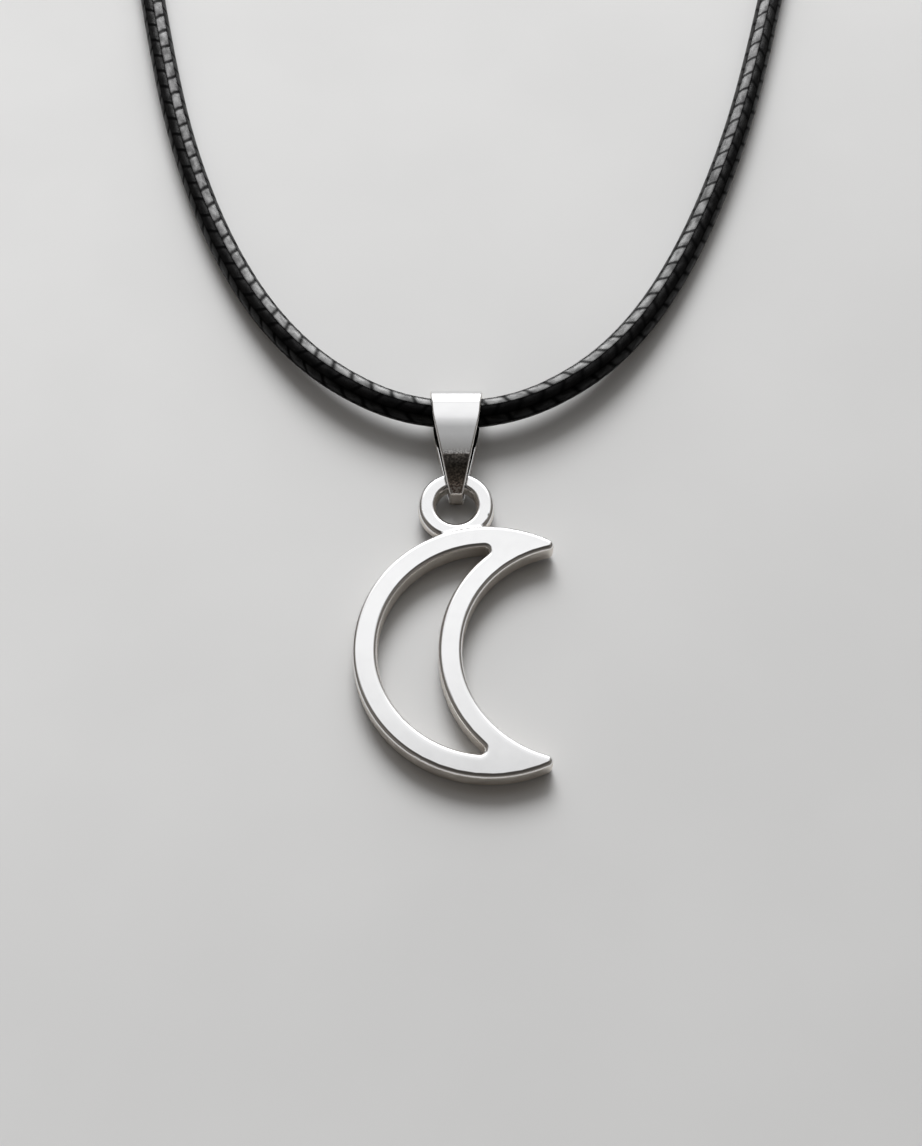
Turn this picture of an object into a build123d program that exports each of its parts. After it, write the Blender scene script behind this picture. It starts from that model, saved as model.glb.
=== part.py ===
from build123d import *
from math import asin, cos, degrees, pi, radians, sin, tan
import os

# Crescent moon pendant on a round cord. Lengths are millimetres and angles are degrees.
# The necklace lies on the plane z = 0, with the pendant towards -Y and the clasp towards +Y.
# The origin is the middle of its footprint.

# Crescent moon, a cast plate with a cut-out that follows its outline
plate_thickness = 1.7
outer_radius = 8.92       # convex outline
inner_radius = 7.48       # concave outline
centre_spacing = 5.72     # from the convex outline's centre to the concave one's
outer_band = 1.6          # metal left along the convex outline
inner_band = 1.56         # metal left along the concave outline
tip_round = 0.4
corner_round = 0.3
edge_round = 0.3
crescent_turn = -1.5      # of the line through both centres

# Hanging ring, cast in one with the crescent
ring_outer_radius = 2.6
ring_hole_radius = 1.37
ring_thickness = 1.1
ring_edge_round = 0.36
ring_sink = 0.645         # how far the ring runs into the crescent
ring_lean = 11.5          # from straight above the convex outline's centre
ring_height = 1.05        # of the ring's centre above the surface

# Pinch bail, one folded strip whose back leaf lies on the surface
sheet = 0.36
bail_length = 8.36
bail_height = 3.3
bail_width = 3.66         # at the back of the bend
taper_step = 0.2          # by which each side is narrower where the leaves start to narrow faster
taper_setback = 0.85      # from the bend's centre to there
taper_round = 8.0
tip_width = 0.84
upper_slope = 4.0         # of the front leaf, from the bend to its curve
curve_setback = 1.3       # from the bend's centre to the curve
curve_round = 15.0
leaf_slope = 8.6          # of the front leaf, from its curve to its crease
tip_slope = 14.0          # of the front leaf, from its crease to its shoulder
crease_setback = 3.9      # from the bend's centre to the crease
crease_round = 1.5
shoulder_length = 0.14    # of the steep facet between the front leaf and its prong
shoulder_drop = 0.27      # from the corner that the facet cuts off
tip_bend = 0.5            # outer radius where the back leaf turns into its prong
back_setback = 0.22       # of the back leaf's prong behind the front one
prong_gap = 0.3
prong_height = 0.85       # of the middle of the gap above the surface
bail_edge_round = 0.12
ring_play = 0.59          # between the front prong and the far side of the ring's hole

# Cord and clasp
cord_radius = 1.0
clasp_length = 14.0
clasp_radius = 2.0
clasp_end_round = 0.6
clasp_core = 6.0          # solid metal between the two sockets
socket_play = 0.1         # around and behind the cord's end

# The cord's route, from its end in the clasp's left socket to the one in the right socket.
# It crosses the bail between the two points at y = -85.94.
cord_route = [
    (-3.1, 110.58, 2.0),
    (-12.7, 110.58, 2.0),
    (-20.7, 102.3, 1.3),
    (-28.7, 82.4, 1.0),
    (-34.6, 52.0, 1.0),
    (-36.2, 20.0, 1.0),
    (-31.6, -11.0, 1.0),
    (-26.6, -38.1, 1.0),
    (-23.5, -53.1, 1.0),
    (-21.2, -61.9, 1.0),
    (-18.0, -70.4, 1.0),
    (-14.1, -77.45, 1.3),
    (-9.5, -82.65, 1.75),
    (-3.6, -85.94, 1.86),
    (3.1, -85.94, 1.86),
    (8.9, -82.75, 1.75),
    (13.3, -77.7, 1.3),
    (17.15, -70.7, 1.0),
    (20.65, -61.9, 1.0),
    (23.3, -53.1, 1.0),
    (27.2, -37.1, 1.0),
    (32.2, -9.5, 1.0),
    (36.3, 22.0, 1.0),
    (34.0, 54.7, 1.0),
    (28.2, 84.9, 1.0),
    (20.5, 103.4, 1.3),
    (12.5, 110.58, 2.0),
    (3.1, 110.58, 2.0),
]
arc_share = 0.45          # of the shorter run beside a corner, taken up by the corner's arc

# Where the pieces meet: the bail's bend lies against the cord, the prongs stand in the ring's
# hole, and the crescent's low edge rests on the surface while the prongs hold its ring up.
pendant_x = -0.33
crossing_y = min(y for x, y, z in cord_route)
cord_play = 0.4           # between the cord and the bail's bend
bend_radius = bail_height / 2
bend_y = crossing_y + cord_radius + cord_play - (bend_radius - sheet)
tip_y = bend_y + bend_radius - bail_length
ring_y = tip_y + sheet + ring_play - ring_hole_radius
ring_distance = outer_radius + ring_outer_radius - ring_sink
moon_centre = (ring_distance * sin(radians(ring_lean)), -ring_distance * cos(radians(ring_lean)))
hollow_centre = (
    moon_centre[0] + centre_spacing * cos(radians(crescent_turn)),
    moon_centre[1] + centre_spacing * sin(radians(crescent_turn)),
)
tilt = asin((ring_height - plate_thickness / 2) / (outer_radius - moon_centre[1]))
pendant_plane = Plane(
    origin=(pendant_x, ring_y, ring_height), x_dir=(1, 0, 0), z_dir=(0, -sin(tilt), cos(tilt))
)
pendant_axis = Axis(pendant_plane.origin, pendant_plane.z_dir)

os.makedirs("parts", exist_ok=True)


def crescent(convex_radius, concave_radius, rounding):
    """Plan of a crescent between two circles, on the plate's lower face, with rounded points."""
    with BuildSketch(pendant_plane.offset(-plate_thickness / 2)) as plan:
        with Locations(moon_centre):
            Circle(convex_radius)
        with Locations(hollow_centre):
            Circle(concave_radius, mode=Mode.SUBTRACT)
        fillet(plan.vertices(), rounding)
    return plan.sketch


# Crescent with its ring
moon_plan = crescent(outer_radius, inner_radius, tip_round)
cutout_plan = crescent(outer_radius - outer_band, inner_radius + inner_band, corner_round)
with BuildPart() as crescent_pendant:
    extrude(moon_plan, amount=plate_thickness)
    extrude(cutout_plan, amount=plate_thickness, mode=Mode.SUBTRACT)
    faces = crescent_pendant.faces().sort_by(pendant_axis)
    fillet(faces[0].edges() + faces[-1].edges(), edge_round)
    ring_section = Plane(pendant_plane.origin, x_dir=(1, 0, 0), z_dir=-pendant_plane.y_dir)
    with BuildSketch(ring_section):
        with Locations(((ring_outer_radius + ring_hole_radius) / 2, 0)):
            RectangleRounded(ring_outer_radius - ring_hole_radius, ring_thickness, ring_edge_round)
    revolve(axis=pendant_axis)
crescent_pendant.part.label = "crescent_pendant"
export_step(crescent_pendant.part, "parts/crescent_pendant.step")


# Pinch bail, from its side view: the back leaf, the bend round the cord and the creased front leaf
bend_end = (
    bend_y - bend_radius * sin(radians(upper_slope)),
    bend_radius + bend_radius * cos(radians(upper_slope)),
)
curve_y = bend_y - curve_setback
curve = (curve_y, bend_end[1] - (bend_end[0] - curve_y) * tan(radians(upper_slope)))
crease_y = bend_y - crease_setback
crease = (crease_y, curve[1] - (curve_y - crease_y) * tan(radians(leaf_slope)))


def leaf_point(y):
    """Point on the front leaf's upper face, in front of its crease."""
    return (y, crease[1] - (crease_y - y) * tan(radians(tip_slope)))


def outline(prong_y, nose):
    """Side view of the folded bail, with a nose that joins its front leaf to its prong."""
    with BuildSketch(Plane.YZ.offset(pendant_x)) as view:
        with BuildLine():
            Line((prong_y, 0), (bend_y, 0))
            CenterArc((bend_y, bend_radius), bend_radius, -90, 180 + upper_slope)
            Polyline(bend_end, curve, crease, *nose, (prong_y, 0))
        make_face()
        fillet(view.vertices().sort_by_distance((prong_y, 0, 0))[0], tip_bend)
        fillet(view.vertices().sort_by_distance((*crease, 0))[0], crease_round)
        fillet(view.vertices().sort_by_distance((*curve, 0))[0], curve_round)
    return view


def strip_half(prong_y, side):
    """The folded strip above or below its prongs' gap, with the prong at prong_y."""
    corner = leaf_point(prong_y)
    facet = (leaf_point(prong_y + shoulder_length), (prong_y, corner[1] - shoulder_drop))
    inside = outline(prong_y, [corner])
    with BuildSketch(Plane.YZ.offset(pendant_x)) as hollow:
        add(inside.sketch_local)
        offset(amount=-sheet, mode=Mode.REPLACE)
    with BuildPart() as half:
        extrude(outline(prong_y, facet).sketch, amount=bail_width, both=True)
        extrude(hollow.sketch, amount=bail_width, both=True, mode=Mode.SUBTRACT)
        with Locations((pendant_x, bend_y, prong_height)):
            Box(
                3 * bail_width,
                3 * bail_length,
                2 * bail_height,
                align=(Align.CENTER, Align.CENTER, side),
                mode=Mode.INTERSECT,
            )
    return half.part


with BuildSketch(Plane.YZ.offset(pendant_x)) as prong_slot:
    with Locations((tip_y, prong_height)):
        Rectangle(4 * sheet, prong_gap)
taper_y = bend_y - taper_setback
taper_width = bail_width - 2 * taper_step
with BuildSketch() as bail_plan:
    with Locations((pendant_x, 0)):
        Polygon(
            (-tip_width / 2, tip_y - sheet),
            (tip_width / 2, tip_y - sheet),
            (tip_width / 2, tip_y),
            (taper_width / 2, taper_y),
            (bail_width / 2, bend_y + bend_radius),
            (bail_width / 2, bend_y + bail_height),
            (-bail_width / 2, bend_y + bail_height),
            (-bail_width / 2, bend_y + bend_radius),
            (-taper_width / 2, taper_y),
            (-tip_width / 2, tip_y),
            align=None,
        )
    fillet(bail_plan.vertices().group_by(Axis.Y)[-3], taper_round)
with BuildPart() as pinch_bail:
    add(strip_half(tip_y, Align.MIN))
    add(strip_half(tip_y + back_setback, Align.MAX))
    extrude(prong_slot.sketch, amount=bail_width, both=True, mode=Mode.SUBTRACT)
    extrude(bail_plan.sketch, amount=bail_height, mode=Mode.INTERSECT)
    flanks = pinch_bail.faces().filter_by(lambda face: abs(face.normal_at().X) > 0.5)
    fillet(flanks.edges(), bail_edge_round)
pinch_bail.part.label = "pinch_bail"
export_step(pinch_bail.part, "parts/pinch_bail.step")


def arc_radii(points):
    """Radius at each corner: its arc takes up the same share of the shorter run beside it."""
    radii = []
    for before, corner, after in zip(points, points[1:], points[2:]):
        run_in = Vector(*corner) - Vector(*before)
        run_out = Vector(*after) - Vector(*corner)
        half_turn = radians(run_in.get_angle(run_out)) / 2
        radii.append(arc_share * min(run_in.length, run_out.length) / tan(half_turn))
    return radii


# Cord
radii = arc_radii(cord_route)
with BuildPart() as cord:
    with BuildLine() as route:
        FilletPolyline(cord_route, radius=radii)
    with BuildSketch(Plane(origin=route.line @ 0, z_dir=route.line % 0)):
        Circle(cord_radius)
    sweep()
cord.part.label = "cord"
export_step(cord.part, "parts/cord.step")
section = pi * cord_radius**2
cord_length = sum(edge.length for edge in route.edges())
print("cord radii", [round(radius, 1) for radius in radii])
print("cord length", round(cord_length, 1), "volume", round(cord.part.volume, 1))
print("section times length", round(section * cord_length, 1))

# Clasp, in line with the cord's two ends
clasp_plane = Plane((0, cord_route[0][1], clasp_radius), x_dir=(0, 1, 0), z_dir=(1, 0, 0))
with BuildPart() as clasp:
    with BuildSketch(clasp_plane.offset(-clasp_length / 2)):
        Circle(clasp_radius)
    extrude(amount=clasp_length)
    fillet(clasp.edges().filter_by(GeomType.CIRCLE), clasp_end_round)
    for end in (clasp_plane.offset(clasp_length / 2), clasp_plane.offset(-clasp_length / 2)):
        with BuildSketch(end):
            Circle(cord_radius + socket_play)
    extrude(amount=(clasp_length - clasp_core) / 2, both=True, mode=Mode.SUBTRACT)
clasp.part.label = "clasp"
export_step(clasp.part, "parts/clasp.step")

print("tilt", round(degrees(tilt), 2))
for piece in (crescent_pendant, pinch_bail, cord, clasp):
    box = piece.part.bounding_box()
    print(piece.part.label, round(piece.part.volume, 2), box.min, box.max)
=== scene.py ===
import logging
import math
from collections.abc import Sequence
from dataclasses import dataclass, field
from enum import Enum

import bpy
import numpy as np
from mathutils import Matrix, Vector

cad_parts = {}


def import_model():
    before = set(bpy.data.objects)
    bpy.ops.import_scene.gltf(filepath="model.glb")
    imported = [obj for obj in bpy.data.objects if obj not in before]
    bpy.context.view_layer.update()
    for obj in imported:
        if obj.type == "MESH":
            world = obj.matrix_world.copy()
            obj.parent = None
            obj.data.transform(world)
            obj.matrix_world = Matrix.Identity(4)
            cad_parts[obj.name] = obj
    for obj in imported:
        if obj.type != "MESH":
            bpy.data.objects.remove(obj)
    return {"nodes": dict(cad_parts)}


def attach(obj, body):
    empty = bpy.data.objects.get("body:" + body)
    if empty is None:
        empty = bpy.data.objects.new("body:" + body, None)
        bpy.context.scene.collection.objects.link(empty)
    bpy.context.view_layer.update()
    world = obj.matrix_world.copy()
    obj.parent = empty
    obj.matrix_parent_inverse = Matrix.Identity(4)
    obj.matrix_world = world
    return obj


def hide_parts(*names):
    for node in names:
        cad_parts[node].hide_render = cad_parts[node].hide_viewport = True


log = logging.getLogger("pendant")
Point = tuple[float, float, float]
Colour = tuple[float, float, float, float]
Span = tuple[float, float]
Socket = bpy.types.NodeSocket
MM = 0.001
FULL: Span = (0.0, 1.0)
EMPTY: Span = (1.0, 0.0)
BRAID_MAP = "braid"


class Slot(Enum):
    """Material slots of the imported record."""

    METAL = "polished_metal"
    CORD = "waxed_cord"


class Ease(Enum):
    """How one range is mapped onto another."""

    SMOOTH = "SMOOTHSTEP"
    STRAIGHT = "LINEAR"


class Blend(Enum):
    """How two colours are mixed."""

    MIX = "MIX"
    MULTIPLY = "MULTIPLY"


@dataclass(frozen=True)
class Noise:
    """Noise of a given scale and detail, mapped from source onto target where it has a source."""

    scale: float
    detail: float
    source: Span | None = None
    target: Span = FULL


def scaled(share: float, colour: Sequence[float]) -> Colour:
    """Opaque colour with its first three parts scaled."""
    return tuple(share * part for part in colour[:3]) + (1.0,)


class NodeBoard:
    """Shader nodes of one material or world, added and wired by short calls."""

    def __init__(self, owner: bpy.types.ID) -> None:
        """Starts an empty node tree.

        Args:
            owner: Material or world that gets the nodes.
        """
        owner.use_nodes = True
        self.tree = owner.node_tree
        self.tree.nodes.clear()

    def add(self, kind: str, **settings: object) -> bpy.types.Node:
        """Adds a node.

        Args:
            kind: Node type, without its ShaderNode prefix.
            settings: Properties of the node.

        Returns:
            The new node.
        """
        node = self.tree.nodes.new("ShaderNode" + kind)
        for name, value in settings.items():
            setattr(node, name, value)
        return node

    def join(self, source: object, target: Socket) -> None:
        """Links a socket to a target socket, or sets the target to a plain value.

        Args:
            source: Socket, number or colour.
            target: Input that gets it.
        """
        if isinstance(source, Socket):
            self.tree.links.new(source, target)
        else:
            target.default_value = source

    def math(self, operation: str, *values: object) -> Socket:
        """Adds a maths node.

        Args:
            operation: Blender's name of the operation.
            values: Sockets or numbers, one for each input.

        Returns:
            The node's result.
        """
        node = self.add("Math", operation=operation)
        for value, socket in zip(values, node.inputs):
            self.join(value, socket)
        return node.outputs[0]

    def span(self, value: Socket, source: Span, target: Span, ease: Ease = Ease.SMOOTH) -> Socket:
        """Maps a value from one range onto another, and holds it at both ends.

        Args:
            value: Socket to map.
            source: Range of the input.
            target: Output at the two ends of that range.
            ease: Whether the change is eased at both ends.

        Returns:
            The mapped value.
        """
        node = self.add("MapRange", interpolation_type=ease.value)
        for index, item in enumerate((value, *source, *target)):
            self.join(item, node.inputs[index])
        return node.outputs[0]

    def mix(self, share: object, first: object, second: object, blend: Blend = Blend.MIX) -> Socket:
        """Mixes two colours.

        Args:
            share: How much of the second colour, from 0 to 1.
            first: Colour or socket.
            second: Colour or socket.
            blend: Blending mode.

        Returns:
            The mixed colour.
        """
        node = self.add("Mix", data_type="RGBA", blend_type=blend.value)
        self.join(share, node.inputs[0])
        self.join(first, node.inputs[6])
        self.join(second, node.inputs[7])
        return node.outputs[2]

    def noise(self, place: Socket, noise: Noise) -> Socket:
        """Adds noise.

        Args:
            place: Coordinates that the noise reads.
            noise: Its scale, its detail and its ranges.

        Returns:
            The noise value, mapped where the noise has a source range.
        """
        node = self.add("TexNoise")
        self.join(place, node.inputs["Vector"])
        node.inputs["Scale"].default_value = noise.scale
        node.inputs["Detail"].default_value = noise.detail
        value = node.outputs["Fac"]
        return value if noise.source is None else self.span(value, noise.source, noise.target)

    def split(self, vector: Socket) -> Sequence[Socket]:
        """Splits a vector.

        Args:
            vector: Socket to split.

        Returns:
            Its three parts.
        """
        node = self.add("SeparateXYZ")
        self.join(vector, node.inputs[0])
        return node.outputs

    def normal(self) -> Socket:
        """Direction that the surface faces."""
        return self.add("NewGeometry").outputs["Normal"]

    def ramp(self, value: Socket, stops: Sequence[tuple[float, Colour]]) -> Socket:
        """Adds a colour ramp.

        Args:
            value: Place on the ramp, from 0 to 1.
            stops: Place and colour of each stop, in order.

        Returns:
            The colour.
        """
        node = self.add("ValToRGB")
        elements = node.color_ramp.elements
        while len(elements) < len(stops):
            elements.new(0.5)
        for element, (place, colour) in zip(elements, stops):
            element.position = place
            element.color = colour
        self.join(value, node.inputs[0])
        return node.outputs[0]

    def bump(self, height: Socket, distance: float, normal: Socket | None = None) -> Socket:
        """Adds a bump.

        Args:
            height: Height, from 0 to 1.
            distance: Rise from 0 to 1, in metres.
            normal: Direction that the bump starts from, or none for the surface's own.

        Returns:
            The direction with the bump.
        """
        node = self.add("Bump")
        node.inputs["Distance"].default_value = distance
        self.join(height, node.inputs["Height"])
        if normal is not None:
            self.join(normal, node.inputs["Normal"])
        return node.outputs[0]


@dataclass(frozen=True)
class Finish:
    """A material that is built from its values."""

    name: str

    def make(self) -> bpy.types.Material:
        """Builds the material.

        Returns:
            The finish.
        """
        material = bpy.data.materials.new(self.name)
        board = NodeBoard(material)
        shader = board.add("BsdfPrincipled")
        self.wire(board, shader)
        board.join(shader.outputs[0], board.add("OutputMaterial").inputs["Surface"])
        return material

    def wire(self, board: NodeBoard, shader: bpy.types.Node) -> None:
        """Adds the nodes that feed the shader, in each kind of finish."""
        raise NotImplementedError


@dataclass(frozen=True)
class PolishedMetal(Finish):
    """Bright polished steel whose surface is very slightly uneven."""

    name: str = "polished_steel"
    colour: Colour = (0.9, 0.9, 0.905, 1.0)
    # Faint handling marks
    marks: Noise = Noise(900.0, 4.0, (0.35, 0.75))
    mark_share: float = 0.97
    # Painted shade: walls and undersides darker, by how far the surface faces up; the wall range also
    # sets the walls' roughness
    wall_shade_colour: Colour = (0.8, 0.755, 0.7, 1.0)
    wall_range: Span = (0.15, 0.6)
    below_shade_range: Span = (-0.75, -0.1)
    below_shade_share: float = 0.5
    # Gloss
    roughness: float = 0.09
    wall_roughness: float = 0.42
    clouds: Noise = Noise(1400.0, 3.0, (0.3, 0.8), (0.8, 1.25))
    # Edges that the polishing softened, and waves
    soft_edge: float = 0.00045
    soft_samples: int = 8
    soft_range: Span = (-0.02, 0.06)
    soft_share: float = 0.55
    waves: Noise = Noise(260.0, 1.0)
    wave_height: float = 0.0000035

    def tint(self, board: NodeBoard, place: Socket) -> Socket:
        """Base colour: clean metal with faint handling marks, and painted shade that darkens walls and
        undersides.

        Args:
            board: Nodes of the material.
            place: Object coordinates.

        Returns:
            The colour.
        """
        marks = board.noise(place, self.marks)
        clean = board.mix(marks, self.colour, scaled(self.mark_share, self.colour))
        upward = board.split(board.normal())[2]
        # Painted shade: darker on walls, and darker still on undersides
        wall_shade = board.span(board.math("ABSOLUTE", upward), self.wall_range, EMPTY)
        below_shade = board.span(upward, self.below_shade_range, (self.below_shade_share, 1.0))
        return board.mix(1.0, board.mix(wall_shade, clean, self.wall_shade_colour), below_shade, Blend.MULTIPLY)

    def worn(self, board: NodeBoard) -> Socket:
        """Surface direction, turned softly over the edges that the hand polishing reached.

        Args:
            board: Nodes of the material.

        Returns:
            The direction.
        """
        plain = board.normal()
        soft = board.add("Bevel", samples=self.soft_samples)
        soft.inputs["Radius"].default_value = self.soft_edge
        lean = board.split(soft.outputs[0])[1]
        turned = board.add("Mix", data_type="VECTOR")
        board.join(board.span(lean, self.soft_range, (0.0, self.soft_share)), turned.inputs[0])
        board.join(plain, turned.inputs[4])
        board.join(soft.outputs[0], turned.inputs[5])
        return turned.outputs[1]

    def wire(self, board: NodeBoard, shader: bpy.types.Node) -> None:
        """Adds the colour, the gloss and the waves.

        Args:
            board: Nodes of the material.
            shader: Shader that they feed.
        """
        place = board.add("TexCoord").outputs["Object"]
        shader.inputs["Metallic"].default_value = 1.0
        board.join(self.tint(board, place), shader.inputs["Base Color"])
        level = board.math("ABSOLUTE", board.split(board.normal())[2])
        gloss = board.span(level, self.wall_range, (self.wall_roughness, self.roughness))
        clouds = board.noise(place, self.clouds)
        board.join(board.math("MULTIPLY", gloss, clouds), shader.inputs["Roughness"])
        waves = board.noise(place, self.waves)
        board.join(board.bump(waves, self.wave_height, self.worn(board)), shader.inputs["Normal"])


@dataclass(frozen=True)
class LeafMetal(PolishedMetal):
    """Steel of the folded bail, with a painted dark reflection on the lower part of its front leaf and
    painted shade on its prong.
    """

    name: str = "folded_steel"
    soft_edge: float = 0.0001
    soft_share: float = 0.0
    # The painted dark reflection, from the leaf's tip to where it ends, on the raised and level front
    # leaf alone
    tip: float = -0.0926
    clean_from: float = -0.0882
    reflection_low: float = 0.0012
    reflection_rise: float = 0.0002
    reflection_level: Span = (0.9, 0.95)
    # Colours of the painted dark reflection, from the leaf's tip onwards
    dark_reflection_stops: tuple[tuple[float, Colour], ...] = (
        (0.13, (1.0, 0.86, 0.79, 1.0)),
        (0.27, (0.42, 0.37, 0.32, 1.0)),
        (0.5, (0.18, 0.175, 0.16, 1.0)),
        (0.6, (0.46, 0.45, 0.44, 1.0)),
        (0.68, (0.68, 0.67, 0.66, 1.0)),
        (0.78, (0.7, 0.7, 0.695, 1.0)),
        (1.0, (0.9, 0.9, 0.905, 1.0)),
    )
    # The painted reflection's ragged edge and its grain
    rough: Noise = Noise(4200.0, 3.0)
    ragged_reach: float = 0.00016
    speckle: Noise = Noise(7000.0, 2.0, (0.35, 0.68), (0.4, 1.5))
    grain_range: Span = (0.62, 0.78)
    # Painted shade on the prong, which faces the front
    prong_shade: Colour = (0.4, 0.36, 0.32, 1.0)
    prong_shade_range: Span = (-0.97, -0.9)

    def dark_reflection(self, board: NodeBoard, place: Socket, ahead: Socket) -> Socket:
        """Colour of the painted dark reflection.

        Args:
            board: Nodes of the material.
            place: Object coordinates.
            ahead: Place along the bail.

        Returns:
            The colour.
        """
        rough = board.noise(place, self.rough)
        ragged = board.math("MULTIPLY_ADD", rough, self.ragged_reach, ahead)
        middle = self.ragged_reach / 2
        ends = (self.tip + middle, self.clean_from + middle)
        reach = board.span(ragged, ends, FULL, Ease.STRAIGHT)
        plain = board.ramp(reach, self.dark_reflection_stops)
        speckled = board.mix(1.0, plain, board.noise(place, self.speckle), Blend.MULTIPLY)
        return board.mix(board.span(reach, self.grain_range, EMPTY), plain, speckled)

    def tint(self, board: NodeBoard, place: Socket) -> Socket:
        """Base colour: clean metal, with a painted dark reflection towards the front leaf's tip and
        painted shade on its prong.

        Args:
            board: Nodes of the material.
            place: Object coordinates.

        Returns:
            The colour.
        """
        clean = super().tint(board, place)
        parts = board.split(place)
        facing = board.split(board.normal())
        ahead = board.math("LESS_THAN", parts[1], self.clean_from)
        raised = board.span(parts[2], (self.reflection_low, self.reflection_low + self.reflection_rise), FULL)
        level = board.span(facing[2], self.reflection_level, FULL)
        # Painted dark reflection: on the raised, level front leaf towards its tip
        reflection_patch = board.math("MULTIPLY", board.math("MULTIPLY", ahead, raised), level)
        leaf = board.mix(reflection_patch, clean, self.dark_reflection(board, place, parts[1]))
        # Painted shade on the front-facing prong
        return board.mix(board.span(facing[1], self.prong_shade_range, EMPTY), leaf, self.prong_shade)


@dataclass(frozen=True)
class Braid:
    """Pattern of the two-way braid, which the cord's mesh and its finish share."""

    columns: int = 8
    lay: float = 0.00165
    slant: float = 0.3
    narrowing: float = 1.9
    seam_range: Span = (0.34, 0.5)
    seam_level: float = 0.6


@dataclass(frozen=True)
class WaxedCordFinish(Finish):
    """Glossy black wax over a tight two-way braid."""

    name: str = "black_waxed_braid"
    braid: Braid = Braid()
    colour: Colour = (0.0016, 0.0016, 0.0017, 1.0)
    # Painted shade: the base colour is darker in the grooves between strands
    groove_shade_colour: Colour = (0.0008, 0.0008, 0.0008, 1.0)
    groove_shade_range: Span = (0.3, 0.8)
    groove_shade_share: Span = (0.25, 1.0)
    # Strands and the threads along them
    drift: Noise = Noise(1.1, 1.0)
    unevenness: float = 0.16
    strand_lift: float = 0.00005
    threads: Noise = Noise(2.2, 2.0)
    thread_stretch: Point = (9.0, 1.6, 1.0)
    thread_lift: float = 0.000003
    # Gloss
    refraction: float = 1.2
    roughness: float = 0.31
    polish_range: Span = (0.3, 0.8)
    polish_share: Span = (0.85, 1.25)
    # Gleam, dark in the seams and uneven where the wax is thin
    gleam_ahead: Span = (0.28, 0.485)
    gleam_seam: float = 0.1
    gleam_crown: Span = (0.25, 0.9)
    wax: Noise = Noise(1.6, 3.0, (0.32, 0.68), (0.22, 0.68))

    def stitches(self, board: NodeBoard, unwrapped: Socket) -> tuple[Socket, Socket]:
        """Follows the braid's stitches.

        Args:
            board: Nodes of the material.
            unwrapped: Braid coordinates.

        Returns:
            Distance along a stitch from its middle, up to 0.5, and height across it, up to 1.
        """
        parts = board.split(unwrapped)
        column = board.math("ROUND", parts[0])
        across = board.math("SUBTRACT", parts[0], column)
        odd = board.math("PINGPONG", column, 1.0)
        # Odd columns slant the other way and start half a stitch later
        slope = board.math("MULTIPLY_ADD", odd, -2.0 * self.braid.slant, self.braid.slant)
        drift = board.noise(unwrapped, self.drift)
        uneven = board.math("MULTIPLY_ADD", drift, self.unevenness, parts[1])
        staggered = board.math("MULTIPLY_ADD", odd, 0.5, uneven)
        along = board.math("MULTIPLY_ADD", across, slope, staggered)
        ahead = board.math("ABSOLUTE", board.math("SUBTRACT", along, board.math("ROUND", along)))
        width = board.math("MULTIPLY", across, self.braid.narrowing)
        rest = board.math("SUBTRACT", 1.0, board.math("MULTIPLY", width, width))
        return ahead, board.math("SQRT", board.math("MAXIMUM", rest, 0.0))

    def wire(self, board: NodeBoard, shader: bpy.types.Node) -> None:
        """Adds the strands, the threads, the wax and its gleam.

        Args:
            board: Nodes of the material.
            shader: Shader that they feed.
        """
        unwrapped = board.add("UVMap", uv_map=BRAID_MAP).outputs[0]
        ahead, crown = self.stitches(board, unwrapped)
        fall = board.span(ahead, self.braid.seam_range, (1.0, self.braid.seam_level))
        strand = board.math("MULTIPLY", crown, fall)
        stretch = board.add("Mapping")
        stretch.inputs["Scale"].default_value = self.thread_stretch
        board.join(unwrapped, stretch.inputs["Vector"])
        threads = board.noise(stretch.outputs[0], self.threads)
        relief = board.bump(threads, self.thread_lift, board.bump(strand, self.strand_lift))
        board.join(relief, shader.inputs["Normal"])
        # Painted shade, darker in the grooves between strands
        groove_shade = board.span(strand, self.groove_shade_range, self.groove_shade_share)
        board.join(board.mix(groove_shade, self.groove_shade_colour, self.colour), shader.inputs["Base Color"])
        glossy, rough = (share * self.roughness for share in self.polish_share)
        board.join(board.span(threads, self.polish_range, (glossy, rough)), shader.inputs["Roughness"])
        lengthwise = board.span(ahead, self.gleam_ahead, (1.0, self.gleam_seam))
        ridge = board.math("MULTIPLY", lengthwise, board.span(crown, self.gleam_crown, FULL))
        wax = board.noise(unwrapped, self.wax)
        board.join(board.math("MULTIPLY", ridge, wax), shader.inputs["Specular IOR Level"])
        shader.inputs["IOR"].default_value = self.refraction


@dataclass(frozen=True)
class PaleGround(Finish):
    """Plain matt ground, with painted shade that deepens a little towards the front, a painted fall-off
    of the light.
    """

    name: str = "pale_ground"
    colour: Colour = (0.838, 0.841, 0.842, 1.0)
    # Painted shade from front to back, a painted fall-off of the light, which leans a little to the
    # side
    lean: float = -0.55
    shade_range: Span = (-0.16, -0.02)
    front_shade_share: float = 0.755
    clouds: Noise = Noise(60.0, 3.0, (0.3, 0.7), (0.97, 1.0))
    roughness: float = 0.9
    gloss: float = 0.2

    def wire(self, board: NodeBoard, shader: bpy.types.Node) -> None:
        """Adds the tone: painted shade towards the front and a faint random mottling.

        Args:
            board: Nodes of the material.
            shader: Shader that they feed.
        """
        place = board.add("TexCoord").outputs["Object"]
        parts = board.split(place)
        # Painted shade: the ground is darker towards the front
        slope = board.math("MULTIPLY_ADD", parts[0], self.lean, parts[1])
        shade = board.span(slope, self.shade_range, (self.front_shade_share, 1.0))
        level = board.math("MULTIPLY", shade, board.noise(place, self.clouds))
        tone = board.mix(1.0, self.colour, level, Blend.MULTIPLY)
        board.join(tone, shader.inputs["Base Color"])
        shader.inputs["Roughness"].default_value = self.roughness
        shader.inputs["Specular IOR Level"].default_value = self.gloss


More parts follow.
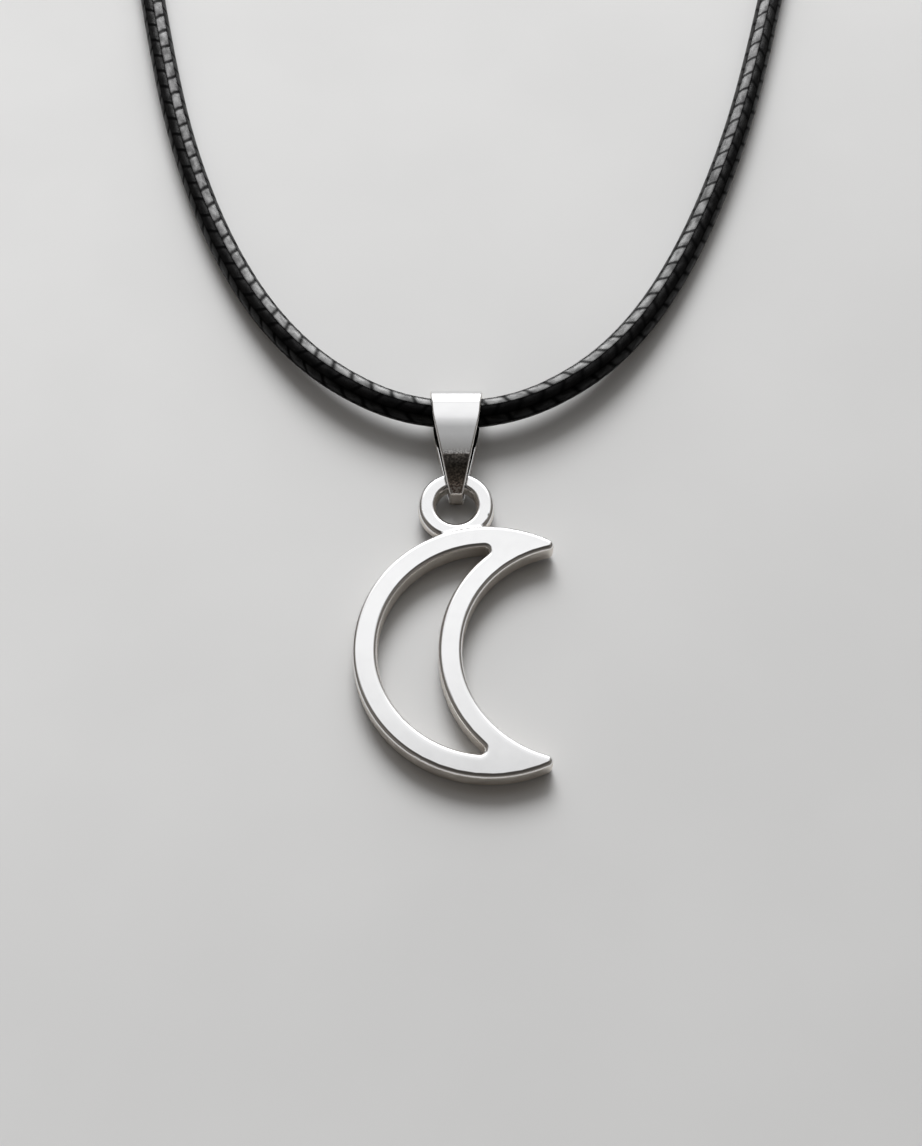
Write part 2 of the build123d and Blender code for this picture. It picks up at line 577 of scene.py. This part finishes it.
@dataclass
class BraidedCord:
    """The cord's whole loop: a two-way braid round the line that its route's points control."""

    braid: Braid = Braid()
    radius: float = 0.000985
    relief: float = 0.00004
    turned: float = 22.5
    around: int = 40
    rings_per_lay: int = 8
    line_steps: int = 40
    route: list[Point] = field(default_factory=lambda: [
        (-0.0031, 0.11058, 0.002),
        (-0.0127, 0.11058, 0.002),
        (-0.0207, 0.1023, 0.0013),
        (-0.0287, 0.0824, 0.001),
        (-0.0346, 0.052, 0.001),
        (-0.0362, 0.02, 0.001),
        (-0.0316, -0.011, 0.001),
        (-0.0266, -0.0381, 0.001),
        (-0.0235, -0.0531, 0.001),
        (-0.0212, -0.0619, 0.001),
        (-0.018, -0.0704, 0.001),
        (-0.0141, -0.07745, 0.0013),
        (-0.0095, -0.08265, 0.00175),
        (-0.0036, -0.08594, 0.00186),
        (0.0031, -0.08594, 0.00186),
        (0.0089, -0.08275, 0.00175),
        (0.0133, -0.0777, 0.0013),
        (0.01715, -0.0707, 0.001),
        (0.02065, -0.0619, 0.001),
        (0.0233, -0.0531, 0.001),
        (0.0272, -0.0371, 0.001),
        (0.0322, -0.0095, 0.001),
        (0.0363, 0.022, 0.001),
        (0.034, 0.0547, 0.001),
        (0.0282, 0.0849, 0.001),
        (0.0205, 0.1034, 0.0013),
        (0.0125, 0.11058, 0.002),
        (0.0031, 0.11058, 0.002),
    ])

    def line(self) -> np.ndarray:
        """Follows the route.

        Returns:
            Points along the smooth line that the route's points control.
        """
        curve = bpy.data.curves.new("cord_line", "CURVE")
        curve.dimensions = "3D"
        curve.resolution_u = self.line_steps
        spline = curve.splines.new("NURBS")
        spline.points.add(len(self.route) - 1)
        for point, place in zip(spline.points, self.route):
            point.co = (*place, 1.0)
        spline.order_u = 3
        spline.use_endpoint_u = True
        holder = bpy.data.objects.new("cord_line", curve)
        mesh = bpy.data.meshes.new_from_object(holder)
        points = np.array([vertex.co for vertex in mesh.vertices], float)
        bpy.data.objects.remove(holder)
        bpy.data.meshes.remove(mesh)
        bpy.data.curves.remove(curve)
        return points

    def stations(self, points: np.ndarray) -> tuple[np.ndarray, np.ndarray, float]:
        """Spaces rings evenly along the line.

        Args:
            points: Points along the line.

        Returns:
            Ring centres, unit directions there, and the line's length.
        """
        steps = np.linalg.norm(np.diff(points, axis=0), axis=1)
        travelled = np.concatenate([[0.0], np.cumsum(steps)])
        length = float(travelled[-1])
        places = np.linspace(0.0, length, round(length / self.braid.lay * self.rings_per_lay) + 1)
        centres = np.stack([np.interp(places, travelled, points[:, axis]) for axis in range(3)], axis=1)
        # Each centre but the last two at either end is the mean of five
        smooth = centres.copy()
        smooth[2:-2] = (centres[:-4] + centres[1:-3] + centres[2:-2] + centres[3:-1] + centres[4:]) / 5
        directions = np.gradient(smooth, axis=0)
        return smooth, directions / np.linalg.norm(directions, axis=1)[:, None], length

    def lift(self, around: np.ndarray, along: np.ndarray) -> np.ndarray:
        """Height of the braid, as its finish has it.

        Args:
            around: Place round the cord, in columns of the braid.
            along: Place along the cord, in stitches.

        Returns:
            Height from 0, in a groove, to 1, on top of a strand.
        """
        column = np.round(around)
        across = around - column
        odd = np.mod(column, 2.0)
        ahead = along + 0.5 * odd + self.braid.slant * (1.0 - 2.0 * odd) * across
        ahead = np.abs(ahead - np.round(ahead))
        crown = np.sqrt(np.maximum(1.0 - (self.braid.narrowing * across) ** 2, 0.0))
        start, end = self.braid.seam_range
        fall = np.clip((ahead - start) / (end - start), 0.0, 1.0)
        return crown * (1.0 - (1.0 - self.braid.seam_level) * fall * fall * (3.0 - 2.0 * fall))

    def shell(self, centres: np.ndarray, directions: np.ndarray) -> np.ndarray:
        """Places the points of the braid's rings, and one in the middle of each end.

        Args:
            centres: Ring centres.
            directions: Unit directions of the line there.

        Returns:
            The points.
        """
        sides = np.cross(directions, (0.0, 0.0, 1.0))
        sides /= np.linalg.norm(sides, axis=1)[:, None]
        tops = np.cross(sides, directions)
        turn = np.arange(self.around) / self.around
        advance = np.arange(len(centres)) / self.rings_per_lay
        height = self.lift(self.braid.columns * turn[None, :], advance[:, None])
        reach = (self.radius - self.relief * (1.0 - height))[:, :, None]
        angle = (math.tau * turn + math.radians(self.turned))[None, :, None]
        outward = np.cos(angle) * sides[:, None] + np.sin(angle) * tops[:, None]
        rings = centres[:, None] + reach * outward
        return np.concatenate([rings.reshape(-1, 3), centres[:1], centres[-1:]])

    def grid(self, rings: int) -> tuple[np.ndarray, np.ndarray]:
        """Row and column of each four-sided face between the rings."""
        return np.meshgrid(np.arange(rings - 1), np.arange(self.around), indexing="ij")

    def faces(self, rings: int) -> list[Sequence[int]]:
        """Joins the shell's points.

        Args:
            rings: Number of rings.

        Returns:
            Faces between the rings, then those of the first end and the last.
        """
        row, column = self.grid(rings)
        following = (column + 1) % self.around
        quads = np.stack([
            row * self.around + column,
            row * self.around + following,
            (row + 1) * self.around + following,
            (row + 1) * self.around + column,
        ], axis=-1).reshape(-1, 4)
        pairs = [(step, (step + 1) % self.around) for step in range(self.around)]
        middle = rings * self.around
        last = middle - self.around
        first_end = [(middle, after, step) for step, after in pairs]
        last_end = [(middle + 1, last + step, last + after) for step, after in pairs]
        return quads.tolist() + first_end + last_end

    def unwrap(self, mesh: bpy.types.Mesh, rings: int) -> None:
        """Gives the mesh its braid coordinates, in columns and stitches.

        Args:
            mesh: The braid's mesh.
            rings: Number of rings.
        """
        row, column = self.grid(rings)
        wide, long = self.braid.columns / self.around, 1.0 / self.rings_per_lay
        flat = np.stack([column * wide, row / self.rings_per_lay], axis=-1)
        square = np.stack([flat, flat + (wide, 0.0), flat + (wide, long), flat + (0.0, long)], axis=2)
        places = square.reshape(-1, 2)
        corners = np.zeros((len(mesh.loops), 2), np.float32)
        corners[: len(places)] = places
        mesh.uv_layers.new(name=BRAID_MAP).data.foreach_set("uv", corners.ravel())

    def build(self) -> bpy.types.Object:
        """Builds the braided cord.

        Returns:
            The cord.
        """
        centres, directions, length = self.stations(self.line())
        rings = len(centres)
        mesh = bpy.data.meshes.new("cord_braid")
        mesh.from_pydata(self.shell(centres, directions).tolist(), [], self.faces(rings))
        self.unwrap(mesh, rings)
        mesh.polygons.foreach_set("use_smooth", [True] * len(mesh.polygons))
        mesh.validate()
        mesh.update()
        cord = bpy.data.objects.new("cord_braid", mesh)
        bpy.context.scene.collection.objects.link(cord)
        cord.data.materials.append(WaxedCordFinish(braid=self.braid).make())
        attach(cord, "root")
        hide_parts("cord")
        log.info("cord: %d rings, %.1f mm", rings, length / MM)
        return cord


@dataclass
class Hardware:
    """The metal pieces: the crescent with its ring, the folded bail and the barrel clasp."""

    nodes: dict[str, bpy.types.Object]
    join_distance: float = 0.0000002
    flat_angle: float = 0.3
    smooth_angle: float = 40.0
    normal_weight: int = 100

    def smoothed(self, name: str) -> bpy.types.Object:
        """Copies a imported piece, joins its facets and shades its curves smooth.

        Args:
            name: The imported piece.

        Returns:
            The new piece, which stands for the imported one.
        """
        piece = bpy.data.objects.new(name + "_polished", self.nodes[name].data.copy())
        bpy.context.scene.collection.objects.link(piece)
        bpy.ops.object.select_all(action="DESELECT")
        piece.select_set(True)
        bpy.context.view_layer.objects.active = piece
        bpy.ops.mesh.customdata_custom_splitnormals_clear()
        bpy.ops.object.mode_set(mode="EDIT")
        bpy.ops.mesh.select_all(action="SELECT")
        bpy.ops.mesh.remove_doubles(threshold=self.join_distance)
        bpy.ops.mesh.dissolve_limited(angle_limit=math.radians(self.flat_angle))
        bpy.ops.object.mode_set(mode="OBJECT")
        bpy.ops.object.shade_smooth_by_angle(angle=math.radians(self.smooth_angle))
        even = piece.modifiers.new("even", "WEIGHTED_NORMAL")
        even.keep_sharp = True
        even.weight = self.normal_weight
        bpy.ops.object.modifier_apply(modifier=even.name)
        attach(piece, "root")
        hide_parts(name)
        return piece

    def dress(self) -> None:
        """Smooths each metal piece and gives it its finish."""
        steel = PolishedMetal().make()
        finishes = {"crescent_pendant": steel, "clasp": steel, "pinch_bail": LeafMetal().make()}
        for name, finish in finishes.items():
            piece = self.smoothed(name)
            for holder in piece.material_slots:
                holder.material = finish
            log.info("%s: %s, %d faces", piece.name, finish.name, len(piece.data.polygons))


def stand(holder: bpy.types.Object, place: Sequence[float], ahead: Vector) -> None:
    """Stands a light or a camera in the scene.

    Args:
        holder: The light's or the camera's object.
        place: Where it stands.
        ahead: Direction in which it shines or looks.
    """
    holder.location = place
    holder.rotation_euler = ahead.to_track_quat("-Z", "Y").to_euler()
    bpy.context.scene.collection.objects.link(holder)


@dataclass(frozen=True)
class Camera:
    """Camera at the photograph's angle."""

    place: Point = (0.0, -0.146877, 0.098892)
    target: Point = (0.0, -0.0983, 0.001847)
    lens: float = 51.39
    sensor_width: float = 36.0
    nearest: float = 0.005

    def build(self) -> None:
        """Adds the camera and makes it the scene's own."""
        data = bpy.data.cameras.new("camera")
        data.lens = self.lens
        data.sensor_width = self.sensor_width
        data.clip_start = self.nearest
        camera = bpy.data.objects.new("camera", data)
        stand(camera, self.place, Vector(self.target) - Vector(self.place))
        bpy.context.scene.camera = camera


@dataclass
class Studio:
    """Pale floor, one large soft key light behind the pendant, and a room that the metal reflects."""

    floor_half: float = 5.0
    key_aim: Point = (0.0, -0.09, 0.0)
    key_elevation: float = 40.0
    key_azimuth: float = 4.0
    key_distance: float = 3.0
    key_size: float = 1.625
    key_power: float = 69.4
    strip_place: Point = (0.0, 0.5, 0.33)
    strip_aim: Point = (0.0, -1.0, 0.0)
    strip_size: Span = (0.55, 0.66)
    strip_power: float = 27.0
    # Brightness of the room, in degrees from the horizon behind over the top to the one in front
    room: list[tuple[float, float]] = field(default_factory=lambda: [
        (0.0, 1.8),
        (20.0, 2.0),
        (34.0, 2.4),
        (44.0, 1.7),
        (54.0, 1.1),
        (61.0, 0.93),
        (63.8, 1.02),
        (65.2, 1.05),
        (67.0, 1.0),
        (69.5, 0.92),
        (71.0, 0.83),
        (74.4, 0.45),
        (76.0, 0.37),
        (79.0, 0.17),
        (84.0, 0.07),
        (105.0, 0.05),
        (132.0, 0.06),
        (152.0, 0.13),
        (170.0, 0.25),
        (180.0, 0.45),
    ])
    front_from: float = 77.0
    front_tone: Point = (1.06, 0.97, 0.88)
    side_range: Span = (0.3, 0.75)
    side_level: float = 0.14
    backdrop: Colour = (0.75, 0.75, 0.745, 1.0)

    def floor(self) -> None:
        """Adds the floor."""
        half = self.floor_half
        corners = [(-half, -half, 0), (half, -half, 0), (half, half, 0), (-half, half, 0)]
        mesh = bpy.data.meshes.new("floor")
        mesh.from_pydata(corners, [], [(0, 1, 2, 3)])
        floor = bpy.data.objects.new("floor", mesh)
        bpy.context.scene.collection.objects.link(floor)
        floor.data.materials.append(PaleGround().make())

    def key(self) -> None:
        """Adds the key light, aimed at the pendant from behind."""
        light = bpy.data.lights.new("key", "AREA")
        light.shape = "DISK"
        light.size = self.key_size
        light.energy = self.key_power
        rise, swing = math.radians(self.key_elevation), math.radians(self.key_azimuth)
        level = math.cos(rise)
        away = Vector((-math.sin(swing) * level, math.cos(swing) * level, math.sin(rise)))
        holder = bpy.data.objects.new("key", light)
        stand(holder, Vector(self.key_aim) + self.key_distance * away, -away)
        holder.visible_glossy = False

    def strip(self, cord: bpy.types.Object) -> None:
        """Adds the low strip light behind, whose gleam only the cord receives.

        Args:
            cord: The cord.
        """
        light = bpy.data.lights.new("strip", "AREA")
        light.shape = "RECTANGLE"
        light.size, light.size_y = self.strip_size
        light.energy = self.strip_power
        receivers = bpy.data.collections.new("strip_receivers")
        receivers.objects.link(cord)
        holder = bpy.data.objects.new("strip", light)
        holder.light_linking.receiver_collection = receivers
        stand(holder, self.strip_place, Vector(self.strip_aim))

    def surroundings(self) -> None:
        """Adds the room: bright behind and above, dark in front, and plain to the camera itself."""
        world = bpy.data.worlds.new("room")
        bpy.context.scene.world = world
        board = NodeBoard(world)
        parts = board.split(board.add("TexCoord").outputs["Generated"])
        arc = board.math("DIVIDE", board.math("ARCTAN2", parts[2], parts[1]), math.pi)
        stops = []
        for degrees, level in self.room:
            tone = self.front_tone if degrees > self.front_from else (1.0, 1.0, 1.0)
            stops.append((degrees / 180.0, scaled(level, tone)))
        sideways = board.span(board.math("ABSOLUTE", parts[0]), self.side_range, FULL)
        room = board.mix(sideways, board.ramp(arc, stops), scaled(self.side_level, self.front_tone))
        direct = board.add("LightPath").outputs["Is Camera Ray"]
        background = board.add("Background")
        board.join(board.mix(direct, room, self.backdrop), background.inputs["Color"])
        board.join(background.outputs[0], board.add("OutputWorld").inputs["Surface"])

    def build(self, cord: bpy.types.Object) -> None:
        """Adds the floor, the lights and the room.

        Args:
            cord: The cord, which the strip light is for.
        """
        self.floor()
        self.key()
        self.strip(cord)
        self.surroundings()
        view = bpy.context.scene.view_settings
        view.view_transform = "Standard"
        view.look = "None"
        log.info("studio ready")


def main() -> None:
    """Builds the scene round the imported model."""
    logging.basicConfig(level=logging.INFO, format="%(name)s: %(message)s")
    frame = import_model()
    bpy.ops.object.select_all(action="DESELECT")
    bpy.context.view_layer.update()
    Camera().build()
    cord = BraidedCord().build()
    Hardware(frame["nodes"]).dress()
    Studio().build(cord)


if __name__ == "__main__":
    main()
